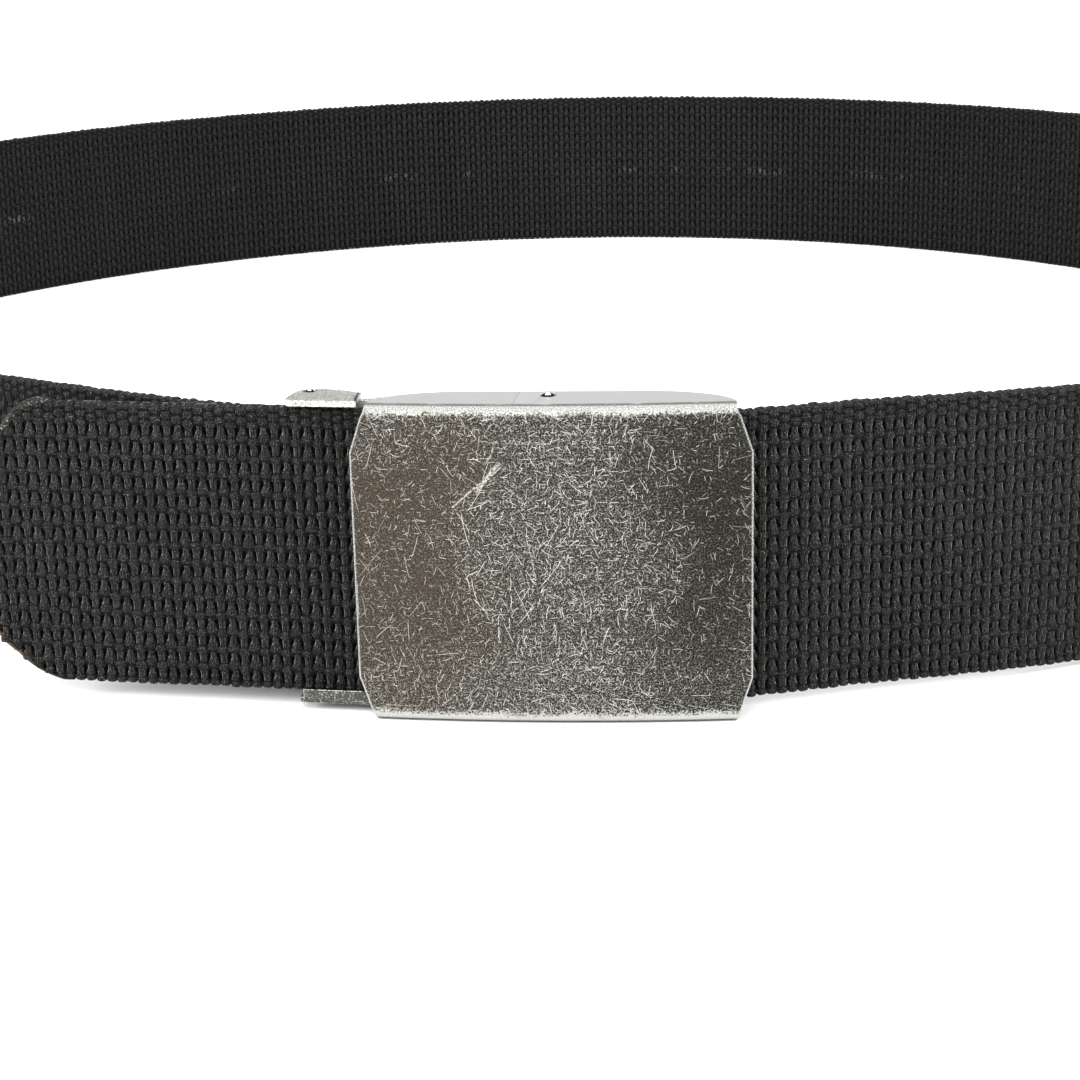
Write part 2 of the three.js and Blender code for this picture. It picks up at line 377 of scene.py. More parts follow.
def facingOut(mesh):
    work = bmesh.new()
    work.from_mesh(mesh)
    bmesh.ops.recalc_face_normals(work, faces=work.faces)
    if work.calc_volume(signed=True) < 0:
        bmesh.ops.reverse_faces(work, faces=work.faces)
    work.to_mesh(mesh)
    work.free()


def smoothed(mesh, angle=40):
    mesh.shade_smooth()
    mesh.set_sharp_from_angle(angle=math.radians(angle))


def finished(made):
    # the modifiers' result as the object's own mesh
    graph = bpy.context.evaluated_depsgraph_get()
    mesh = bpy.data.meshes.new_from_object(made.evaluated_get(graph))
    made.modifiers.clear()
    old, name = made.data, made.data.name
    made.data = mesh
    bpy.data.meshes.remove(old)
    mesh.name = name
    return made


def place(made, slot, material, *nodes):
    made.data.materials.clear()
    made.data.materials.append(material)
    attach(made, "root")
    if nodes:
        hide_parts(*nodes)
    return made


# webbing
weave = {
    "pitch": 1.417,            # from one column of the weave to the next
    "row": 2.35, "firstHoles": 3.35, "rows": 15,
    # the creases above each kind's first row, and how far its other creases are above the holes
    "creases": {"knob": (0.22, 0.82, 2.05), "bell": (0.2, 1.38, 2.62)},
    "aboveHoles": {"knob": 0.62, "bell": 0.37},
    "lastKnob": 37.1,
    "widthPlay": 0.045, "heightPlay": 0.09, "unevenness": 0.16, "grain": 1.0, "seed": 7,
    # columns in each stretch from the tip on, and whether it is seen from near by
    "stretches": [("tongue", 40, True), ("in_buckle", 30, False), ("front", 36, True)],
    "loopPieces": 4, "tipColumns": 8,
    "sides": {True: 10, False: 6}, "squareness": 0.6, "narrow": 0.6,
    "tipInset": 0.15,          # from the tongue's cut edge to its columns' ends
    "capShare": 0.5, "capAbove": 0.14, "capBelow": 0.08, "linePoints": 4,
}
# share of the way to the next crease, half width and half depth in millimetres
weaveShapes = {
    "knob": [(0.0, 0.52, 0.83), (0.05, 0.74, 1.02), (0.13, 0.82, 1.13), (0.32, 0.82, 1.15),
             (0.41, 0.72, 1.10), (0.49, 0.52, 1.02), (0.72, 0.48, 1.00), (0.95, 0.50, 0.96)],
    "bell": [(0.0, 0.48, 0.83), (0.07, 0.41, 0.93), (0.34, 0.39, 0.98), (0.45, 0.50, 1.03),
             (0.58, 0.72, 1.10), (0.74, 0.86, 1.15), (0.90, 0.85, 1.12), (0.97, 0.68, 0.98)],
    "edge": [(0.0, 0.50, 0.70), (0.10, 0.72, 1.00), (0.30, 0.83, 1.14), (0.70, 0.83, 1.13),
             (0.93, 0.66, 0.92)],
}
lastKnobShape = [(0.0, 0.54, 0.86), (0.10, 0.68, 1.0), (0.38, 0.74, 1.06), (0.66, 0.70, 1.0),
                 (0.82, 0.5, 0.8)]
plainRings = {"knob": (0, 2, 4, 6), "bell": (0, 2, 4, 6), "edge": (0, 2, 3)}


def columnRings(kind, near, low, high):
    # (height, half width, half depth, 1 in a crease) from the top down
    width, row = strap["width"], weave["row"]
    creases = list(weave["creases"][kind])
    following = weave["firstHoles"] + row * (1 - weave["aboveHoles"][kind])
    creases += [following + row * k for k in range(weave["rows"])]
    rings = []
    for i, (start, end) in enumerate(zip(creases, creases[1:])):
        name = "edge" if i < 2 else kind
        shape = weaveShapes[name]
        if not near:
            shape = [shape[k] for k in plainRings[name]]
        rings += [(start + (end - start) * t, w, d, float(t == 0)) for t, w, d in shape]
    rings = [ring for ring in rings if ring[0] < weave["lastKnob"] - 0.1]
    last = lastKnobShape if near else lastKnobShape[::2]
    rings += [(weave["lastKnob"] + t, w, d, float(t == 0)) for t, w, d in last]
    rings = [(width - down, *rest) for down, *rest in rings if low < width - down < high]
    if low > 0 or high < width:
        rings = [(high, *rings[0][1:])] + rings + [(low, *rings[-1][1:])]
    return rings


def columnMesh(name, kind, near, low=0.0, high=38.0):
    sides, power = weave["sides"][near], weave["squareness"]
    turns = [2 * math.pi * (j + 0.5) / sides for j in range(sides)]
    around = [(math.copysign(abs(math.cos(a)) ** power, math.cos(a)),
               math.copysign(abs(math.sin(a)) ** power, math.sin(a))) for a in turns]
    profile = columnRings(kind, near, low, high)
    rings = [[Vector((w * x, d * y, height)) * mm for x, y in around]
             for height, w, d, _ in profile]
    # each end is drawn in to a small cap
    drawnIn, above, below = weave["capShare"], weave["capAbove"] * mm, weave["capBelow"] * mm
    tops = [Vector((p.x * drawnIn, p.y * drawnIn, p.z + above)) for p in rings[0]]
    ends = [Vector((p.x * drawnIn, p.y * drawnIn, p.z - below)) for p in rings[-1]]
    mesh = throughRings(name, [tops] + rings + [ends])
    mesh.shade_smooth()
    # how far towards the inside and across the yarn each point is, where the creases are, and
    # how near each point is to the side of a narrow part
    profile = [profile[0], *profile, profile[-1]]
    values = {"inner": [v.co.y / mm for v in mesh.vertices],
              "yarn": [v.co.x / mm for v in mesh.vertices],
              "crease": [crease for _, _, _, crease in profile for _ in around],
              "side": [abs(x) * (w < weave["narrow"]) for _, w, _, _ in profile for x, _ in around]}
    for attribute, numbers in values.items():
        keep(mesh, attribute, numbers)
    return mesh


def chance(tree, index, seed, low, high):
    sockets = {2: low, 3: high, "ID": index, "Seed": seed}
    return tree.add("FunctionNodeRandomValue", {"data_type": "FLOAT"}, sockets, 1)


def weaveTree():
    # columns of the weave, stood along a path
    group = bpy.data.node_groups.new("weaveAlongPath", "GeometryNodeTree")
    face = group.interface
    sockets = [("Path", "NodeSocketGeometry"), ("Columns", "NodeSocketCollection"),
               ("Count", "NodeSocketInt"), ("Tip columns", "NodeSocketInt"),
               ("Width play", "NodeSocketFloat"), ("Height play", "NodeSocketFloat"),
               ("Unevenness", "NodeSocketFloat"), ("Grain", "NodeSocketFloat"),
               ("Seed", "NodeSocketInt"), ("Finish", "NodeSocketMaterial")]
    for name, kind in sockets:
        face.new_socket(name, in_out="INPUT", socket_type=kind)
    face.new_socket("Weave", in_out="OUTPUT", socket_type="NodeSocketGeometry")
    tree = Tree(group)
    given = tree.add("NodeGroupInput")
    path, columns, count, tipColumns, widthPlay, heightPlay, unevenness, grain, seed, finish = (
        tree.other(given, name) for name, _ in sockets)
    line = tree.add("GeometryNodeMeshToCurve", {}, {"Mesh": path})
    points = tree.add("GeometryNodeCurveToPoints", {"mode": "COUNT"},
                      {"Curve": line, "Count": count})
    turned = tree.add("FunctionNodeAlignRotationToVector", {"axis": "X", "pivot_axis": "Z"},
                      {"Vector": tree.other(points, "Tangent")})
    index = tree.add("GeometryNodeInputIndex")
    odd = index.maths("MODULO", index, 2.0)
    atTip = 1 - (index > tipColumns - 0.5)
    which = odd * (1 - atTip) + (index + 2) * atTip
    wide = 1 + widthPlay * chance(tree, index, seed + 1, -1.0, 1.0)
    deep = 1 - widthPlay * chance(tree, index, seed + 2, 0.0, 1.0)
    stood = tree.add("GeometryNodeInstanceOnPoints", {}, {
        "Points": points, "Pick Instance": True, "Instance Index": which,
        "Instance": tree.add("GeometryNodeCollectionInfo", {}, {
            "Collection": columns, "Separate Children": True, "Reset Children": True}),
        "Rotation": turned, "Scale": tree.joined(wide, deep, 1.0)})
    rise = heightPlay * chance(tree, index, seed + 3, -1.0, 1.0)
    moved = tree.add("GeometryNodeTranslateInstances", {},
                     {"Instances": stood, "Translation": tree.joined(0.0, 0.0, rise)})
    real = tree.add("GeometryNodeRealizeInstances", {}, {"Geometry": moved})
    # each knob a little out of true
    wander = tree.add("ShaderNodeTexNoise", {}, {"Scale": 1 / grain, "Detail": 1.0}, "Color")
    offset = tree.add("ShaderNodeVectorMath", {"operation": "SUBTRACT"}, {0: wander, 1: (0.5,) * 3})
    offset = tree.add("ShaderNodeVectorMath", {"operation": "SCALE"},
                      {0: offset, "Scale": unevenness})
    uneven = tree.add("GeometryNodeSetPosition", {}, {"Geometry": real, "Offset": offset})
    done = tree.add("GeometryNodeSetMaterial", {}, {"Geometry": uneven, "Material": finish})
    tree.add("NodeGroupOutput", {}, {"Weave": done})
    return group


webbingLooks = {
    "dark": (0.0009, 0.0009, 0.0009), "light": (0.0132, 0.0127, 0.0121),
    "polishedHighlight": (0.34, 0.33, 0.32), "crease": (0.0005, 0.0005, 0.0006),
    "sparkleSpeck": (0.20, 0.197, 0.192), "lint": (0.16, 0.155, 0.15),
    "plyWidth": 0.36,
    "lintAt": 18.5, "lintHalf": 1.3,      # the middle of the inner face, from the floor
}


def makeWebbingFinish():
    look = webbingLooks
    material, tree = newFinish("wovenWebbing")
    place = tree.place()
    x, _, z = tree.parts(place)
    broad = tree.noise(place, 9, 3)
    knob = tree.noise(place, 1.1, 2)
    strands = tree.noise(tree.stretched(place, 1, 1, 0.2), 0.15, 2, 0.6)
    fuzz = tree.noise(place, 0.11, 1)
    inner = tree.attribute("inner")
    yarn = tree.attribute("yarn")
    # the plies of each yarn, which wander a little
    turned = (yarn + (knob - 0.5) * 0.3) * (2 * math.pi / look["plyWidth"])
    ply = turned.maths("COSINE", turned) * 0.5 + 0.5
    side = tree.attribute("side")
    inside = inner.rise(-0.2, 0.5)
    tone = (broad * 0.4 + knob * 0.8 + strands * 1.8 + ply * 0.6 + inside * 0.15 - 1.4).clamped()
    colour = tree.mixed(tone, look["dark"], look["light"])
    # filaments on the yarns' sides are polished, and carry a painted highlight: they are painted
    # much brighter on the side facing away from the buckle's middle, where the side lights catch
    # them
    litSide = 0.12 + 0.88 * ((x - buckleX) * yarn > 0.0)
    polishHighlight = side.rise(0.45, 0.85) * strands.rise(0.38, 0.58) * litSide * (1 - 0.8 * inside)
    colour = tree.mixed(polishHighlight * 0.8, colour, look["polishedHighlight"])
    # painted shade: the crease rings between the knobs are painted near black as shadowed grooves,
    # less so on the inner face
    crease = tree.attribute("crease")
    colour = tree.mixed(crease.rise(0.1, 0.9) * (0.5 - 0.4 * inside), colour, look["crease"])
    # specks painted bright as sparkle highlights on the filaments, and lint rubbed along the middle
    # of the inner face
    sparkleSpeck = (fuzz - 0.61).clamped() * 11.0
    rub = (1 - ((z / mm - look["lintAt"]) / look["lintHalf"]).size()).clamped()
    rub = rub * tree.noise(place, 7, 2).rise(0.52, 0.7)
    lint = rub * inner.rise(0.35, 0.9) * tree.noise(place, 0.8, 1).rise(0.4, 0.7)
    colour = tree.mixed((sparkleSpeck * (0.6 - 0.4 * inside)).clamped(), colour, look["sparkleSpeck"])
    colour = tree.mixed(lint * 0.5, colour, look["lint"])
    finishWith(tree, {"Base Color": colour, "Roughness": 0.30 + 0.2 * knob,
                      "Specular IOR Level": 0.085},
               strands * 0.7 + ply * 0.5 + fuzz * 0.4, 0.12, 1.0)
    return material


coreLooks = {
    "hole": (0.0012, 0.0012, 0.0016),
    "weftDark": (0.001, 0.001, 0.001), "weftLight": (0.009, 0.0085, 0.008),
}


def makeCoreFinish():
    # weft ribs between the rows of holes, and near black behind the holes
    look = coreLooks
    material, tree = newFinish("webbingGround")
    place = tree.place()
    rib = tree.attribute("rib")
    lines = tree.noise(tree.stretched(place, 0.3, 0.3, 1), 0.25, 2)
    weft = tree.mixed(lines, look["weftDark"], look["weftLight"])
    colour = tree.mixed(rib, look["hole"], weft)
    finishWith(tree, {"Base Color": colour, "Roughness": 0.6, "Specular IOR Level": 0.03},
               lines, 0.10, 0.9)
    return material


threadLooks = {"dark": (0.010, 0.010, 0.009), "pale": (0.10, 0.098, 0.095)}


def makeThreadFinish():
    look = threadLooks
    material, tree = newFinish("selvageThread")
    place = tree.place()
    pale = tree.noise(place, 0.7, 3).rise(0.46, 0.62)
    colour = tree.mixed(pale, look["dark"], look["pale"])
    finishWith(tree, {"Base Color": colour, "Roughness": 0.4, "Specular IOR Level": 0.12})
    return material


sealLooks = {
    "black": (0.004, 0.0037, 0.0034), "brown": (0.085, 0.050, 0.024), "paintedGlint": (0.26, 0.235, 0.21),
    # millimetres from the floor: the brown place, and where the painted glints on the rim's upper
    # part begin
    "brownAt": 8, "brownHalf": 3, "paintedGlintFrom": (27, 36),
}


def makeSealFinish():
    look = sealLooks
    material, tree = newFinish("meltedEnd")
    place = tree.place()
    _, _, z = tree.parts(place)
    lumps = tree.noise(place, 1.4, 3, 0.6)
    fine = tree.noise(place, 0.3, 2, 0.6)
    away = ((z / mm - look["brownAt"]) / look["brownHalf"]).size()
    burnt = away.rise(2.6, 0.2) * 0.6 + lumps * 0.4
    colour = tree.mixed(burnt.rise(0.45, 0.85), look["black"], look["brown"])
    # painted highlight: glints painted bright on the upper part of the rim, where the light catches
    # it
    paintedGlints = fine.rise(0.56, 0.72) * (z / mm).rise(*look["paintedGlintFrom"])
    colour = tree.mixed(paintedGlints * 0.8, colour, look["paintedGlint"])
    finishWith(tree, {"Base Color": colour, "Roughness": 0.35 + 0.2 * fine,
                      "Specular IOR Level": 0.2}, lumps + fine * 0.6, 0.3, 0.9)
    return material


ground = {
    "edge": 0.42, "holeDepth": 0.30, "ribDepth": 0.82, "holeAbove": 0.46, "holeBelow": 0.66,
    "ramp": 0.1, "apart": 0.01,
    "nearStep": 3.0, "farStep": 6.0, "nearTo": 190.0, "nearFrom": 60.0,
    "endInset": 0.6, "tipInset": 0.9,      # how far short of the strap's ends the ground stops
    "threadRadius": 0.09, "threadAt": 37.98, "threadStep": 1.4, "threadSway": 0.06,
    "threadSides": 6, "threadToRow": 2,
}


def makeStrapCore(material):
    # a thin ground with a weft rib between each two rows of holes
    heights = [(strap["width"] - ground["edge"], ground["ribDepth"])]
    for k in range(weave["rows"]):
        hole = strap["width"] - weave["firstHoles"] - weave["row"] * k
        top, foot = hole + ground["holeAbove"], hole - ground["holeBelow"]
        heights += [(top + ground["ramp"], ground["ribDepth"]), (top, ground["holeDepth"]),
                    (foot, ground["holeDepth"]), (foot - ground["ramp"], ground["ribDepth"])]
    heights.append((ground["edge"], ground["ribDepth"]))
    stops, s, last = [], ground["tipInset"], strapLength - ground["endInset"]
    while s < last:
        stops.append(s)
        near = s < ground["nearTo"] or s > strapLength - ground["nearFrom"]
        s += ground["nearStep"] if near else ground["farStep"]
    stops.append(last)
    rings, count = [], len(heights)
    for s in stops:
        low, high = tipEdges(s)
        low, high = low + ground["edge"], high - ground["edge"]
        # heights past the cut edge are gathered at it, a little apart
        kept = [(max(min(z, high - ground["apart"] * i),
                     low + ground["apart"] * (count - 1 - i)), d)
                for i, (z, d) in enumerate(heights)]
        outer = [onStrap(s, -d, z) for z, d in kept[::-1]]
        rings.append([onStrap(s, d, z) for z, d in kept] + outer)
    mesh = throughRings("strap_ground", rings)
    ribs = [float(d > ground["holeDepth"]) for _, d in heights]
    keep(mesh, "rib", (ribs + ribs[::-1]) * len(rings))
    return place(newObject("strap_ground", mesh), "webbing", material, "strap")


def makeThread(material):
    # the fine thread along the tongue's upper edge
    rings, sides, radius = [], ground["threadSides"], ground["threadRadius"]
    start, end = strap["tip"][-1][0], routeRows[ground["threadToRow"]]
    count = math.ceil((end - start) / ground["threadStep"])
    draws = random.Random(weave["seed"])
    for i in range(count + 1):
        s = lerp(start, end, i / count)
        sway = draws.uniform(-1, 1) * ground["threadSway"]
        height = ground["threadAt"] + sway * 0.7
        turns = [2 * math.pi * j / sides for j in range(sides)]
        rings.append([onStrap(s, sway + radius * math.cos(a), height + radius * math.sin(a))
                      for a in turns])
    mesh = throughRings("selvage_thread", rings)
    mesh.shade_smooth()
    return place(newObject("selvage_thread", mesh), "webbing", material)


def stock(name, meshes):
    made = bpy.data.collections.new(name)
    for i, mesh in enumerate(meshes):
        made.objects.link(bpy.data.objects.new(f"{name}{i}", mesh))
    return made


def makeWeave(material):
    columns = round(strapLength / weave["pitch"])
    pitch = strapLength / columns
    inset = weave["tipInset"]
    tree = weaveTree()
    tips, kinds = [], ("knob", "bell")
    for i in range(weave["tipColumns"]):
        low, high = tipEdges((i + 0.5) * pitch)
        tips.append(columnMesh(f"tipColumn{i}", kinds[i % 2], True, low + inset, high - inset))
    fine = stock("fineColumn", [columnMesh(f"{kind}Column", kind, True) for kind in kinds] + tips)
    plain = stock("plainColumn", [columnMesh(f"{kind}ColumnPlain", kind, False) for kind in kinds])
    parts = [(f"strap_weave_{name}", count, fine if near else plain)
             for name, count, near in weave["stretches"]]
    loops, middle = weave["loopPieces"], columns - sum(count for _, count, _ in parts)
    share = 2 * round(middle / loops / 2)
    for i in range(loops):
        count = share if i < loops - 1 else middle - share * (loops - 1)
        parts.append((f"strap_weave_loop_{i + 1}", count, plain))
    made, first = [], 0
    for name, count, kinds in parts:
        s0, s1 = (first + 0.5) * pitch, (first + count - 0.5) * pitch
        steps = count * weave["linePoints"]
        line = [onStrap(lerp(s0, s1, i / steps), 0, 0) for i in range(steps + 1)]
        mesh = bpy.data.meshes.new(name)
        mesh.from_pydata(line, [(i, i + 1) for i in range(steps)], [])
        host = newObject(name, mesh)
        modifier = host.modifiers.new("weave", "NODES")
        modifier.node_group = tree
        values = {"Columns": kinds, "Count": count,
                  "Tip columns": weave["tipColumns"] if first == 0 else 0,
                  "Width play": weave["widthPlay"], "Height play": weave["heightPlay"] * mm,
                  "Unevenness": weave["unevenness"] * mm, "Grain": weave["grain"] * mm,
                  "Seed": weave["seed"] + len(made), "Finish": material}
        for socket in tree.interface.items_tree:
            if socket.name in values and socket.in_out == "INPUT":
                modifier[socket.identifier] = values[socket.name]
        made.append(place(finished(host), "webbing", material, "strap"))
        print(name, count, "columns,", len(made[-1].data.polygons), "faces")
        first += count
    for kinds in (fine, plain):
        for stockPiece in list(kinds.objects):
            bpy.data.objects.remove(stockPiece)
        bpy.data.collections.remove(kinds)
    bpy.data.node_groups.remove(tree)
    return made


seal = {"halfDepth": 1.08, "reachLow": 0.3, "reachHigh": 0.6, "lumps": 0.16, "sides": 10,
        "step": 0.4, "inset": 0.35, "smoothings": 3, "seed": 3}


def makeTipSeal(material):
    # the melted rim that follows the cut end of the tongue
    rows = strap["tip"]
    outline = [(s, high) for s, _, high in reversed(rows)] + [(s, low) for s, low, _ in rows]
    corners = [Vector(p) for p in outline]
    line = []
    for a, b in zip(corners, corners[1:]):
        steps = max(1, round((b - a).length / seal["step"]))
        line += [a.lerp(b, i / steps) for i in range(steps)]
    line.append(corners[-1])
    for _ in range(seal["smoothings"]):
        between = [(a + b * 2 + c) / 4 for a, b, c in zip(line, line[1:], line[2:])]
        line = [line[0], *between, line[-1]]
    draws = random.Random(seal["seed"])
    lumps = [draws.uniform(-1, 1) for _ in range(len(line) * seal["sides"])]
    rings = []
    for i, p in enumerate(line):
        ahead = (line[min(i + 1, len(line) - 1)] - line[max(i - 1, 0)]).normalized()
        out = Vector((-ahead.y, ahead.x))
        ends = min(1.0, 0.3 + 0.25 * min(i, len(line) - 1 - i))
        reach = lerp(seal["reachLow"], seal["reachHigh"], smooth(p.y / strap["width"]))
        ring = []
        for j in range(seal["sides"]):
            a = 2 * math.pi * j / seal["sides"]
            swell = ends * (1 + seal["lumps"] * lumps[i * seal["sides"] + j])
            sideways = math.cos(a) * reach * swell
            across = math.sin(a) * seal["halfDepth"] * ends
            at = p - out * sideways
            ring.append(onStrap(max(at.x + seal["inset"], 0.0), across, at.y))
        rings.append(ring)
    mesh = throughRings("tongue_melted_rim", rings)
    mesh.shade_smooth()
    return place(newObject("tongue_melted_rim", mesh), "webbing", material)


webbingFinish = makeWebbingFinish()
core = makeStrapCore(makeCoreFinish())
weavePieces = makeWeave(webbingFinish)
rim = makeTipSeal(makeSealFinish())
thread = makeThread(makeThreadFinish())
strapLength * mm
print("strap made,", round(strapLength), "mm long")


# metal finishes
def scratchLayer(tree, place, cell, length, width, share, bend, shift):
    # one short scratch in each cell of a scattered grid, at its own angle and with its own bend
    moved = tree.add("ShaderNodeVectorMath", {"operation": "ADD"},
                     {0: place, 1: (shift * mm, shift * 1.7 * mm, 0)})
    cells = tree.add("ShaderNodeTexVoronoi", {"voronoi_dimensions": "2D"},
                     {"Vector": moved, "Scale": 1 / (cell * mm)}, "Position")
    colour = tree.other(cells, "Color")
    turn, lot, depth = tree.parts(colour)
    apart = tree.add("ShaderNodeVectorMath", {"operation": "SUBTRACT"}, {0: moved, 1: cells})
    dx, dy, _ = tree.parts(apart)
    angle = turn * (2 * math.pi)
    c, s = angle.maths("COSINE", angle), angle.maths("SINE", angle)
    along = dx * c + dy * s
    across = dy * c - dx * s + (depth - 0.5) * along * along * (bend / mm)
    line = (1 - across.size() / (width * mm)).clamped()
    ends = (1 - along.size() / (length * mm)).rise(0.0, 0.4)
    return line * ends * (lot > 1 - share) * (0.25 + 0.75 * depth)


def stroke(x, y, start, end, width):
    # one scratch from start to end, in millimetres on the sheet
    a, b = Vector(start), Vector(end)
    way = b - a
    t = (((x - a.x) * way.x + (y - a.y) * way.y) / way.length_squared).clamped()
    ox, oy = x - (a.x + t * way.x), y - (a.y + t * way.y)
    away = ox * ox + oy * oy
    return (1 - away / (width * width)).clamped()


plate = {
    "width": 50.0, "height": 41.4, "wall": 0.8, "bulge": coverBulge, "bend": 1.5, "depth": 7.5,
    "cutAcross": 2.0, "cutUp": 6.0, "flangeFlat": 12.0,
    "columns": 56, "bendRows": 8, "flangeRows": 12, "faceRows": 30, "rimRound": 0.16,
    "holeRadius": 1.12,
}
plateLooks = {
    "brown": (0.037, 0.028, 0.019), "olive": (0.0105, 0.0096, 0.0056),
    "grey": (0.0125, 0.0119, 0.0090), "silver": (0.93, 0.91, 0.84), "line": (0.05, 0.05, 0.06),
    "flange": (0.91, 0.92, 0.89), "flangeDull": (0.72, 0.73, 0.70),
    "flangeBand": (0.95, 0.96, 0.94), "flangeSeam": (0.45, 0.45, 0.44),
    "rubbed": (0.54, 0.54, 0.51), "rubbedDark": (0.09, 0.09, 0.08),
    # middle and half size of the most worn place
    "wornAt": (1.5, 2.5), "wornHalf": (19, 22),
    # where the upper and lower borders begin to wear, and are worn
    "upper": (11.0, 19.5), "lower": (-6.0, -19.0),
    # how much wear each has, the lower border at its ends and more in its middle
    "middleWear": 0.75, "upperWear": 0.5, "lowerWear": (0.2, 0.65), "leastWear": 0.12,
    # share of scratches on unworn metal, and what wear adds
    "scratched": (0.44, 0.81),
    # the right side and its upper half have fewer: where they begin, and what they lack
    "rightFrom": (1.0, 20.0), "tallFrom": (-6.0, 12.0), "rightLacks": (0.28, 0.12),
    # cell, half length, half width, share of cells, bend, shift, strength
    "scratches": [
        (0.34, 0.15, 0.032, 0.36, 1.6, 3.1, 0.55), (0.50, 0.25, 0.036, 0.36, 1.3, 11.3, 0.85),
        (0.70, 0.38, 0.038, 0.34, 1.0, 17.9, 1.0), (0.95, 0.54, 0.038, 0.34, 0.8, 23.7, 1.0),
        (1.3, 0.75, 0.038, 0.36, 0.5, 29.9, 1.0), (1.8, 1.1, 0.040, 0.32, 0.3, 37.1, 1.0),
        (2.8, 1.7, 0.040, 0.30, 0.12, 44.3, 1.0), (4.6, 2.8, 0.040, 0.24, 0.06, 67.3, 0.9),
    ],
    # start, end, half width, strength
    "strokes": [
        ((-12.2, 8.0), (-9.4, 10.5), 0.17, 0.55), ((-9.0, 10.3), (-6.4, 13.5), 0.36, 0.5),
        ((-12.3, 7.9), (-9.6, 10.4), 0.07, 0.6), ((-8.9, 10.4), (-6.0, 13.2), 0.07, 0.7),
        ((-10.1, 14.1), (-7.3, 14.3), 0.06, 0.7), ((-6.9, 15.7), (-8.2, 12.0), 0.05, 0.7),
        ((-5.6, 10.6), (-3.4, 9.0), 0.06, 0.7), ((-14.4, -18.3), (-12.7, -16.8), 0.07, 0.8),
        ((-23.0, -12.1), (-21.0, -13.2), 0.06, 0.7), ((-19.8, -13.1), (-18.4, -13.1), 0.05, 0.7),
        ((-21.6, -18.4), (-17.6, -18.5), 0.05, 0.6), ((-9.8, -4.1), (-8.1, -6.0), 0.06, 0.8),
        ((-3.2, 4.6), (-2.0, -1.2), 0.05, 0.6), ((3.0, 7.0), (7.5, 2.0), 0.05, 0.5),
    ],
    # the lighter band across the top flange: its edges at the bend and at the back
    "band": ((-4.6, -2.3), (-4.2, -0.7)),
}


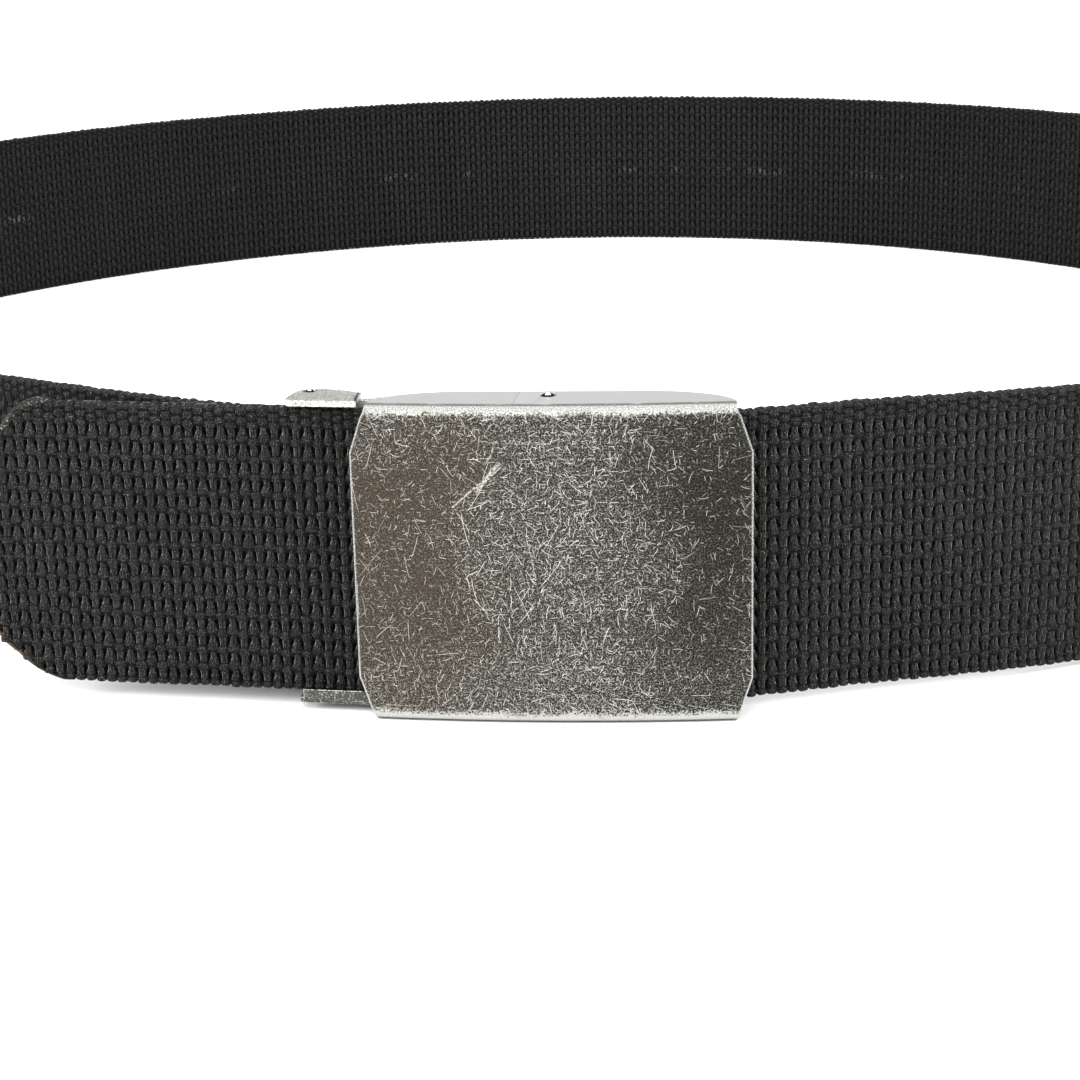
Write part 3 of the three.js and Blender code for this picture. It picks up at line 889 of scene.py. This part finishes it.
def makePlateFinish():
    look = plateLooks
    material, tree = newFinish("antiqueSilverPlate")
    sheet = tree.add("ShaderNodeUVMap", {"uv_map": "sheet"})
    x, y, _ = tree.parts(sheet)
    x, y = x / mm, y / mm
    edge = tree.attribute("fromEdge")
    broad = tree.noise(sheet, 9, 3, 0.55)
    blotch = tree.noise(sheet, 2.6, 3, 0.6)
    grain = tree.noise(sheet, 0.28, 2, 0.6)
    dust = tree.noise(sheet, 0.14, 1, 0.5)
    faceHalf = plate["height"] / 2 - plate["bend"]
    # how worn each place is: most in the middle and towards the bends
    (wornX, wornY), (wornWide, wornHigh) = look["wornAt"], look["wornHalf"]
    fromX, fromY = (x - wornX) / wornWide, (y - wornY) / wornHigh
    middle = (1 - fromX * fromX - fromY * fromY).rise(0, 1)
    centre = (1 - fromX * fromX).rise(0, 1)
    upper, lower = y.rise(*look["upper"]), y.rise(*look["lower"])
    lowerEnds, lowerMiddle = look["lowerWear"]
    worn = middle * look["middleWear"] + upper * look["upperWear"]
    worn = worn + lower * (lowerEnds + lowerMiddle * centre)
    worn = (worn + (broad - 0.5) * 0.8 + look["leastWear"]).clamped()
    # the right side is less scratched, and its upper half is duller too
    spared, tall = x.rise(*look["rightFrom"]), y.rise(*look["tallFrom"])
    (unworn, byWear), (lacks, tallLacks) = look["scratched"], look["rightLacks"]
    marks = None
    for cell, length, width, share, bend, shift, strength in look["scratches"]:
        some = share * (unworn + byWear * worn) * (1 - spared * (lacks + tallLacks * tall))
        layer = scratchLayer(tree, sheet, cell, length, width, some, bend, shift) * strength
        marks = layer if marks is None else marks.atLeast(layer)
    haze = (grain * 0.5 + dust * 0.5 - 0.50).clamped()
    haze = haze * (0.9 + 1.8 * worn + 0.8 * lower) * (1 - 0.4 * spared * tall)
    strokes = None
    for start, end, width, strength in look["strokes"]:
        made = stroke(x, y, start, end, width) * strength
        strokes = made if strokes is None else strokes.atLeast(made)
    strokes = strokes * (grain * 3.4 - 1.15).clamped()
    bare = (marks * (0.7 + 0.3 * worn) + haze * 0.6).atLeast(strokes).clamped()
    # patina: brown at the left, olive at the right, greyer where it is worn
    sideways = ((x + 25) / 50 + (blotch - 0.5) * 0.5).rise(0.25, 0.95)
    patina = tree.mixed(sideways, look["brown"], look["olive"])
    patina = tree.mixed(worn * 0.8, patina, look["grey"])
    colour = tree.mixed(bare, patina, look["silver"])
    # the bends and the cut rims are rubbed bright, with a speckled border
    ragged = (grain - 0.5) * 3.2 + (blotch - 0.5) * 1.6
    bendWorn = (y.size() + ragged + lower * 0.6).rise(faceHalf + 0.1, faceHalf + 1.0)
    rimWorn = 1 - (edge / mm + (grain - 0.5) * 0.3).rise(0.06, 0.30)
    bright = bendWorn.atLeast(rimWorn)
    rubbed = tree.mixed(dust.rise(0.39, 0.59) * (0.85 - 0.45 * lower), look["rubbed"],
                        look["rubbedDark"])
    colour = tree.mixed(bright * 0.95, colour, rubbed)
    # painted shade: the underside of the lower bend is painted dark olive, as the contact shadow
    # where the plate meets the floor
    contactShade = y.rise(-faceHalf - 1.1, -faceHalf - 1.45)
    colour = tree.mixed(contactShade * 0.9, colour, look["olive"])
    flange = y.rise(faceHalf + 2.1, faceHalf + 2.5)
    deep = (y - faceHalf - 2.36) / (plate["depth"] - plate["bend"])
    (nearLeft, nearRight), (farLeft, farRight) = look["band"]
    fromLeft = x - nearLeft - (farLeft - nearLeft) * deep
    fromRight = nearRight + (farRight - nearRight) * deep - x
    band = fromLeft.rise(0.0, 0.15) * fromRight.rise(0.0, 0.15)
    seams = (1 - fromLeft.size() / 0.16).clamped().atLeast((1 - fromRight.size() / 0.12).clamped())
    flangeTone = tree.mixed((blotch - 0.3) * 0.5, look["flange"], look["flangeDull"])
    flangeTone = tree.mixed(band * 0.6, flangeTone, look["flangeBand"])
    flangeTone = tree.mixed(seams * 0.35, flangeTone, look["flangeSeam"])
    colour = tree.mixed(flange, colour, flangeTone)
    # a dark seam where the bend meets each flange
    seam = (1 - ((y.size() - faceHalf - 2.5) / 0.6).size()).clamped() * blotch.rise(0.25, 0.5)
    colour = tree.mixed(seam * 0.75, colour, look["line"])
    rough = (0.46 - 0.14 * bare) * (1 - bright) + 0.34 * bright
    height = bare * 0.6 + blotch * 0.4 + grain * 0.2 + strokes * 0.6
    finishWith(tree, {"Base Color": colour, "Metallic": 0.95, "Roughness": rough},
               height, 0.035, 0.7)
    return material


def halfAtHeight(z):
    fromCorner = min(z, plate["height"] - z)
    cut = max(0.0, 1 - fromCorner / plate["cutUp"])
    return plate["width"] / 2 - plate["cutAcross"] * cut


def flangeHalf(t):
    corner = plate["width"] / 2 - plate["cutAcross"]
    return plate["flangeFlat"] + (corner - plate["flangeFlat"]) * math.sqrt(max(0.0, 1 - t * t))


def plateRows():
    # (y, z, way in, half width, how far the row follows the bulge) from one back edge to the other
    bend, corner = plate["bend"], plate["width"] / 2 - plate["cutAcross"]
    rows = []
    for i in range(plate["flangeRows"], 0, -1):
        t = math.sin(math.pi / 2 * i / plate["flangeRows"])
        rows.append((lerp(bend, plate["depth"], t), 0.0, (0, 1), flangeHalf(t), 1 - t))
    for i in range(plate["bendRows"], 0, -1):
        a = math.pi / 2 * i / plate["bendRows"]
        z = bend * (1 - math.sin(a))
        half = lerp(halfAtHeight(z), corner, math.sin(a))
        rows.append((bend * (1 - math.cos(a)), z, (math.cos(a), math.sin(a)), half, 1.0))
    heights = [bend, 3.0, 4.5, plate["cutUp"]]
    rest = plate["height"] / 2 - plate["cutUp"]
    steps = plate["faceRows"] // 2
    heights += [plate["cutUp"] + rest * i / steps for i in range(1, steps)]
    rows += [(0.0, z, (1, 0), halfAtHeight(z), 1.0) for z in heights]
    upper = [(y, plate["height"] - z, (a, -b), half, follow) for y, z, (a, b), half, follow in rows]
    middle = plate["height"] / 2
    return rows + [(0.0, middle, (1, 0), halfAtHeight(middle), 1.0)] + upper[::-1]


def onSheet(p):
    # the place on the flat sheet before it was bent, and the distance from its cut edge
    x = (p.x - buckleX) / mm
    y = (p.y - buckleY) / mm
    z = p.z / mm
    bend, middle = plate["bend"], plate["height"] / 2
    arch = plate["bulge"] * (1 - (x * 2 / plate["width"]) ** 2)
    past = abs(z - middle) - (middle - bend)
    if past <= 0:
        return x, z - middle, halfAtHeight(z) - abs(x)
    deep = y + arch
    if y > bend - arch:
        t = min(max((y - bend) / (plate["depth"] - bend), 0.0), 1.0)
        deep = y + arch * (1 - t)
    angle = math.pi / 2
    if deep < bend:
        angle = min(max(math.atan2(past, bend - deep), 0.0), math.pi / 2)
    along = middle - bend + bend * angle + max(deep - bend, 0.0)
    t = min(max((deep - bend) / (plate["depth"] - bend), 0.0), 1.0)
    half = lerp(halfAtHeight(z), flangeHalf(0), min(past / bend, 1))
    if deep > bend:
        half = flangeHalf(t)
    return x, math.copysign(along, z - middle), min(half - abs(x), plate["depth"] - y)


def makeCoverPlate(material):
    rings, columns = [], plate["columns"]
    for y, z, (inY, inZ), half, follow in plateRows():
        outside, inside = [], []
        for i in range(columns + 1):
            x = half * (2 * i / columns - 1)
            at = y - plate["bulge"] * (1 - (2 * x / plate["width"]) ** 2) * follow
            outside.append(fromBuckle(x, at, z))
            inside.append(fromBuckle(x, at + inY * plate["wall"], z + inZ * plate["wall"]))
        rings.append(outside + inside[::-1])
    sides = len(rings[0])
    last = (len(rings) - 1) * sides
    ends = []
    for i in range(columns):
        far = sides - 1 - i
        ends.append([i, far, far - 1, i + 1])
        ends.append([last + i, last + i + 1, last + far - 1, last + far])
    made = newObject("plate_cover", throughRings("plate_cover", rings, ends))
    cutter = newObject("cutter", bpy.data.meshes.new("cutter"))
    work = bmesh.new()
    bmesh.ops.create_cone(work, cap_ends=True, segments=40, radius1=plate["holeRadius"] * mm,
                          radius2=plate["holeRadius"] * mm, depth=60 * mm,
                          matrix=Matrix.Translation(fromBuckle(pins["cover"]["x"],
                                                               pins["cover"]["y"], 20)))
    work.to_mesh(cutter.data)
    work.free()
    hole = made.modifiers.new("hole", "BOOLEAN")
    hole.object, hole.operation, hole.solver = cutter, "DIFFERENCE", "EXACT"
    rounded = made.modifiers.new("rims", "BEVEL")
    rounded.width, rounded.segments = plate["rimRound"] * mm, 3
    rounded.limit_method, rounded.angle_limit = "ANGLE", math.radians(50)
    finished(made)
    bpy.data.objects.remove(cutter)
    mesh = made.data
    smoothed(mesh, 60)
    spots = [onSheet(v.co) for v in mesh.vertices]
    layer = mesh.uv_layers.new(name="sheet")
    for loop in mesh.loops:
        across, up, _ = spots[loop.vertex_index]
        layer.data[loop.index].uv = (across * mm, up * mm)
    keep(mesh, "fromEdge", [spot[2] * mm for spot in spots])
    return place(made, "cover_metal", material, "cover_plate")


# frame, clamp, bar and pins
frameLooks = {
    "base": (0.74, 0.74, 0.70), "dull": (0.06, 0.065, 0.052), "bright": (0.72, 0.72, 0.68),
    "edgeRound": 0.12,
    # cell, half length, half width, share of cells, bend, shift
    "scratches": [(0.8, 0.45, 0.04, 0.7, 0.5, 5.3), (1.6, 1.0, 0.035, 0.6, 0.2, 19.9)],
    "darkerBelow": (4.0, 12.0),
    # painted shade: the ear's turned-up end is painted dark, as its end face lies in shadow
    "endShadeFrom": buckleX / mm - 24.65, "endShadeAbove": 41.2,
}
pins = {
    "cover": {"x": -0.5, "y": 5.4, "radius": 0.78, "low": 0.22, "high": 41.5, "dome": 0.42},
    "ear": {"x": -31.1, "y": 8.8, "radius": 0.55, "low": 1.07, "high": 41.38, "dome": 0.3},
    "sides": 28, "rings": 7, "bodyRings": 12, "foot": 0.25,
    # shares of the radius, and the depth of the ring punched round the dome
    "lip": 0.84, "domeShare": 0.56, "punch": 0.45,
    "dark": (0.012, 0.0115, 0.011), "bright": (0.85, 0.84, 0.80),
}


def makeFrameFinish():
    look = frameLooks
    material, tree = newFinish("antiqueSilverFrame")
    place = tree.place()
    x, y, z = tree.parts(place)
    flat = tree.joined(x, y + z, 0.0)
    blotch = tree.noise(place, 2.2, 3, 0.6)
    grain = tree.noise(place, 0.25, 2, 0.6)
    short, long = (scratchLayer(tree, flat, *sizes) for sizes in look["scratches"])
    marks = short.atLeast(long)
    # darker towards the bottom: below 4 to 12 mm from the floor the metal is mixed towards the dull
    # colour
    low = 1 - (z / mm).rise(*look["darkerBelow"])
    # painted shade on the ear's turned-up end
    endShade = (x / mm).rise(look["endShadeFrom"], look["endShadeFrom"] + 0.05)
    endShade = endShade * (z / mm).rise(look["endShadeAbove"], look["endShadeAbove"] + 0.15)
    dulled = (blotch.rise(0.3, 0.7) * 0.3 + low * 0.9).clamped()
    tone = tree.mixed(dulled, look["base"], look["dull"])
    edge = tree.attribute("corner")
    rubbed = edge * (grain * 5 - 1.6).clamped()
    bare = marks.atLeast((grain - 0.55).clamped() * 3).atLeast(rubbed).clamped()
    colour = tree.mixed(bare, tone, look["bright"])
    pits = (0.52 - grain).clamped() * 13 * (0.45 + edge).clamped()
    colour = tree.mixed((pits * 0.7).clamped(), colour, look["dull"])
    colour = tree.mixed(endShade, colour, look["dull"])
    finishWith(tree, {"Base Color": colour, "Metallic": 0.92, "Roughness": 0.42 - 0.12 * bare},
               blotch + grain * 0.5 + marks * 0.3, 0.04, 0.6)
    return material


def makePinFinish():
    material, tree = newFinish("struckPin")
    place = tree.place()
    dents = tree.noise(place, 0.5, 2, 0.6)
    crownLight = tree.attribute("corner")
    # painted light: the dome's top is painted bright as a highlight, and the rim, the ring and the
    # rod are painted near black as shade in the recess around it
    bare = (crownLight * 1.5 - 0.35 + (dents - 0.5) * 0.8).clamped()
    colour = tree.mixed(bare, pins["dark"], pins["bright"])
    finishWith(tree, {"Base Color": colour, "Metallic": 0.95, "Roughness": 0.5 - 0.25 * bare},
               dents, 0.12, 0.8)
    return material


def roundedCopy(node, name, slot, material, width):
    # a copy of a CAD node with its flat faces whole again and its edges rounded
    work = bmesh.new()
    work.from_mesh(frame["nodes"][node].data)
    bmesh.ops.transform(work, matrix=frame["nodes"][node].matrix_world, verts=work.verts)
    bmesh.ops.remove_doubles(work, verts=work.verts, dist=1e-6)
    bmesh.ops.dissolve_limit(work, angle_limit=math.radians(1), verts=work.verts, edges=work.edges)
    mesh = bpy.data.meshes.new(name)
    work.to_mesh(mesh)
    work.free()
    made = newObject(name, mesh)
    for _ in range(2):
        mesh.materials.append(material)
    rounded = made.modifiers.new("edges", "BEVEL")
    rounded.width, rounded.segments = width * mm, 3
    rounded.limit_method, rounded.angle_limit = "ANGLE", math.radians(40)
    rounded.material = 1
    finished(made)
    mesh = made.data
    smoothed(mesh, 50)
    # corner is 1 on the rounded edges, and 0 on the flats
    keep(mesh, "corner", [float(face.material_index) for face in mesh.polygons], "FACE")
    mesh.polygons.foreach_set("material_index", [0] * len(mesh.polygons))
    return place(made, slot, material, node)


def makePin(name, node, values, material):
    # a plain rod with a domed, struck end
    sides, count = pins["sides"], pins["rings"]
    rings, crownLight = [], []
    low, high, radius, dome = (values[k] for k in ("low", "high", "radius", "dome"))
    foot, punched = pins["foot"], high - pins["punch"]
    turns = [math.pi / 2 * i / count for i in range(count)]
    # height, radius, and how bright
    profile = [(low + foot * (1 - math.sin(a + 0.02)), radius * math.cos(a), 0.0)
               for a in reversed(turns)]
    steps = pins["bodyRings"]
    profile += [(lerp(low + foot, high - foot, i / steps), radius, 0.0) for i in range(1, steps)]
    profile += [(high - 0.06, radius, 0.0), (high, radius * 0.94, 0.2),
                (high, radius * pins["lip"], 0.1), (punched, radius * (pins["lip"] - 0.06), 0.0),
                (punched, radius * (pins["domeShare"] + 0.04), 0.0)]
    domed = radius * pins["domeShare"]
    profile += [(high - 0.1 + dome * math.sin(a), domed * math.cos(a), 0.3 + 0.7 * math.sin(a))
                for a in turns]
    for z, r, share in profile:
        rings.append([fromBuckle(values["x"] + r * math.cos(2 * math.pi * j / sides),
                                 values["y"] + r * math.sin(2 * math.pi * j / sides), z)
                      for j in range(sides)])
        crownLight += [share] * sides
    mesh = throughRings(name, rings)
    smoothed(mesh, 60)
    keep(mesh, "corner", crownLight)
    return place(newObject(name, mesh), "pin_metal", material, node)


makeCoverPlate(makePlateFinish())
print("cover plate made")
frameFinish, pinFinish = makeFrameFinish(), makePinFinish()
for node, name in (("base_frame", "frame_with_ears"), ("locking_bar", "toothed_bar"),
                   ("end_clamp", "fold_clamp")):
    roundedCopy(node, name, "frame_metal", frameFinish, frameLooks["edgeRound"])
makePin("cover_pivot_pin", "cover_pin", pins["cover"], pinFinish)
makePin("ear_cross_pin", "ear_pin", pins["ear"], pinFinish)
print("frame and pins made")
